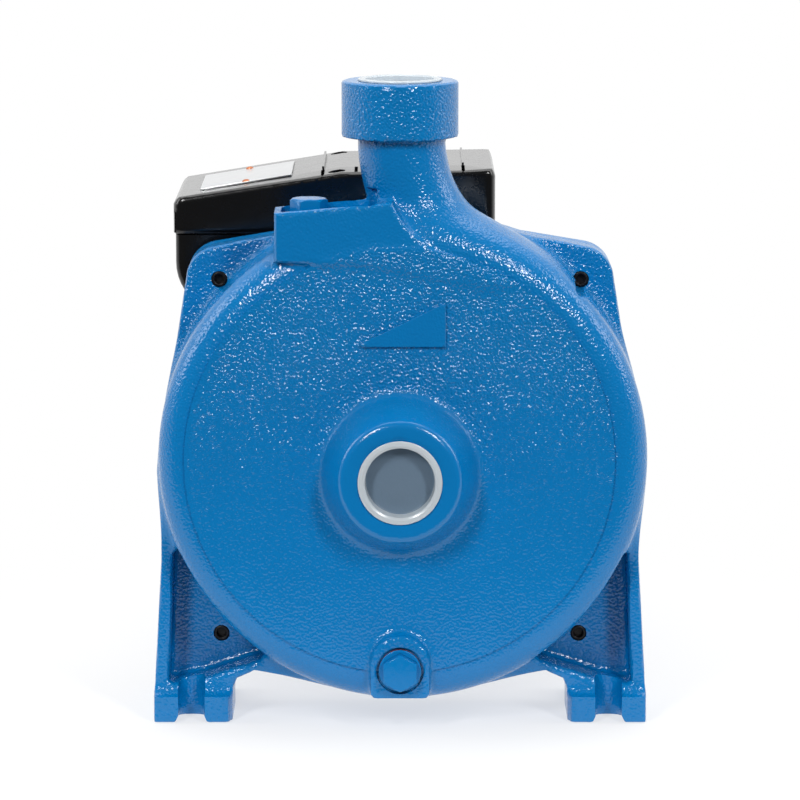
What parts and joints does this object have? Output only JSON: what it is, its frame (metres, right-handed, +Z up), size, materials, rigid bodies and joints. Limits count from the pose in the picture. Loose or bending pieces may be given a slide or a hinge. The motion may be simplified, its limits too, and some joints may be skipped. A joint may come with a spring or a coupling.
{
  "type": "centrifugal water pump",
  "caption": "Close-coupled centrifugal water pump: cast volute casing with threaded suction and discharge ports, priming and drain plugs, and a fan-cooled motor behind.",
  "frame": {"origin": "midway between the round seats of the two front foot slots, on the plane the pump stands on, under the shaft and the discharge port", "axes": "+X to the right of someone facing the suction port, +Y along the shaft from the pump to the motor, +Z up along the discharge port"},
  "size_m": [0.1886, 0.285, 0.2467],
  "materials": {
    "casing_paint": "gloss textured paint over cast iron",
    "plug_paint": "gloss paint",
    "motor_paint": "gloss paint over aluminium",
    "cover_paint": "gloss paint over sheet steel",
    "black_screw_steel": "black oxide",
    "zinc_steel": "zinc plated",
    "shaft_steel": "ground",
    "bearing_steel": "ground and polished",
    "cage_steel": "pressed sheet",
    "spring_steel": "drawn wire",
    "lamination_steel": "stacked sheet",
    "rotor_aluminium": "die cast",
    "winding_copper": "varnished copper wire",
    "impeller_brass": "cast and turned",
    "seal_rubber": "moulded",
    "seal_ceramic": "lapped ceramic",
    "seal_carbon": "carbon graphite",
    "washer_fibre": "red fibre",
    "box_plastic": "satin moulded",
    "fan_plastic": "moulded",
    "capacitor_case": "moulded",
    "terminal_plastic": "moulded phenolic",
    "terminal_brass": "turned",
    "rivet_copper": "plated",
    "plate_aluminium": "satin foil",
    "cap_plastic": "translucent polyethylene",
    "foot_steel": "black powder coat"
  },
  "bodies": {
    "pump_frame": {"pump_casing": "casing_paint", "casing_o_ring": "seal_rubber", "motor_bracket": "casing_paint", "casing_bolts": "black_screw_steel", "seal_seat_cup": "seal_rubber", "seal_seat": "seal_ceramic", "motor_housing": "motor_paint", "rear_end_shield": "motor_paint", "wave_washer": "spring_steel", "tie_rods": "zinc_steel", "stator_core": "lamination_steel", "stator_windings": "winding_copper", "fan_cover": "cover_paint", "fan_cover_screws": "zinc_steel", "motor_support_foot": "foot_steel", "support_foot_screws": "zinc_steel", "terminal_box_base": "box_plastic", "terminal_box_lid": "box_plastic", "lid_plate": "plate_aluminium", "lid_plate_rivets": "rivet_copper", "lid_screws": "black_screw_steel", "terminal_box_screws": "zinc_steel", "capacitor": "capacitor_case", "terminal_block": "terminal_plastic", "terminal_screws": "terminal_brass", "earth_screw": "terminal_brass", "gland_body": "box_plastic", "gland_locknut": "box_plastic", "gland_nut": "box_plastic", "gland_seal": "seal_rubber", "front_bearing_outer_ring": "bearing_steel", "rear_bearing_outer_ring": "bearing_steel"},
    "rotor": {"shaft": "shaft_steel", "rotor_core": "rotor_aluminium", "impeller": "impeller_brass", "impeller_key": "shaft_steel", "impeller_washer": "shaft_steel", "impeller_nut": "impeller_brass", "seal_head": "seal_carbon", "seal_spring": "spring_steel", "slinger": "seal_rubber", "front_bearing_inner_ring": "bearing_steel", "rear_bearing_inner_ring": "bearing_steel", "cooling_fan": "fan_plastic", "fan_clip": "spring_steel"},
    "front_ball_set": {"front_bearing_balls": "bearing_steel", "front_bearing_cage": "cage_steel"},
    "rear_ball_set": {"rear_bearing_balls": "bearing_steel", "rear_bearing_cage": "cage_steel"},
    "priming_seal": {"priming_washer": "washer_fibre"},
    "priming_plug": {"priming_plug": "plug_paint"},
    "drain_seal": {"drain_washer": "washer_fibre"},
    "drain_plug": {"drain_plug": "plug_paint"},
    "suction_cap": {"suction_cap": "cap_plastic"},
    "discharge_cap": {"discharge_cap": "cap_plastic"}
  },
  "joints": [
    {"name": "rotor_spin", "type": "hinge", "parent": "pump_frame", "child": "rotor", "pos_m": [0, 0, 0.0995], "axis": [0, 1, 0], "continuous": true},
    {"name": "front_ball_orbit", "type": "hinge", "parent": "pump_frame", "child": "front_ball_set", "pos_m": [0, 0.05, 0.0995], "axis": [0, 1, 0], "continuous": true},
    {"name": "rear_ball_orbit", "type": "hinge", "parent": "pump_frame", "child": "rear_ball_set", "pos_m": [0, 0.172, 0.0995], "axis": [0, 1, 0], "continuous": true},
    {"name": "priming_plug_lift", "type": "slide", "parent": "pump_frame", "child": "priming_seal", "axis": [0, 0, 1], "range_m": [0, 0.0095]},
    {"name": "priming_plug_turn", "type": "hinge", "parent": "priming_seal", "child": "priming_plug", "pos_m": [-0.0341, -0.014, 0.1961], "axis": [0, 0, 1], "range_deg": [0, 2520]},
    {"name": "drain_plug_lift", "type": "slide", "parent": "pump_frame", "child": "drain_seal", "axis": [0, -1, 0], "range_m": [0, 0.0095]},
    {"name": "drain_plug_turn", "type": "hinge", "parent": "drain_seal", "child": "drain_plug", "pos_m": [0, -0.0263, 0.0246], "axis": [0, -1, 0], "range_deg": [0, 2520]},
    {"name": "suction_cap_pull", "type": "slide", "parent": "pump_frame", "child": "suction_cap", "axis": [0, -1, 0], "range_m": [0, 0.06]},
    {"name": "discharge_cap_pull", "type": "slide", "parent": "pump_frame", "child": "discharge_cap", "axis": [0, 0, 1], "range_m": [0, 0.06]}
  ],
  "couplings": [
    {"joint": "front_ball_orbit", "follows": "rotor_spin", "ratio": 0.3816},
    {"joint": "rear_ball_orbit", "follows": "rotor_spin", "ratio": 0.3816},
    {"joint": "priming_plug_lift", "follows": "priming_plug_turn", "m_per_rad": 0.00021279},
    {"joint": "drain_plug_lift", "follows": "drain_plug_turn", "m_per_rad": 0.00021279}
  ]
}
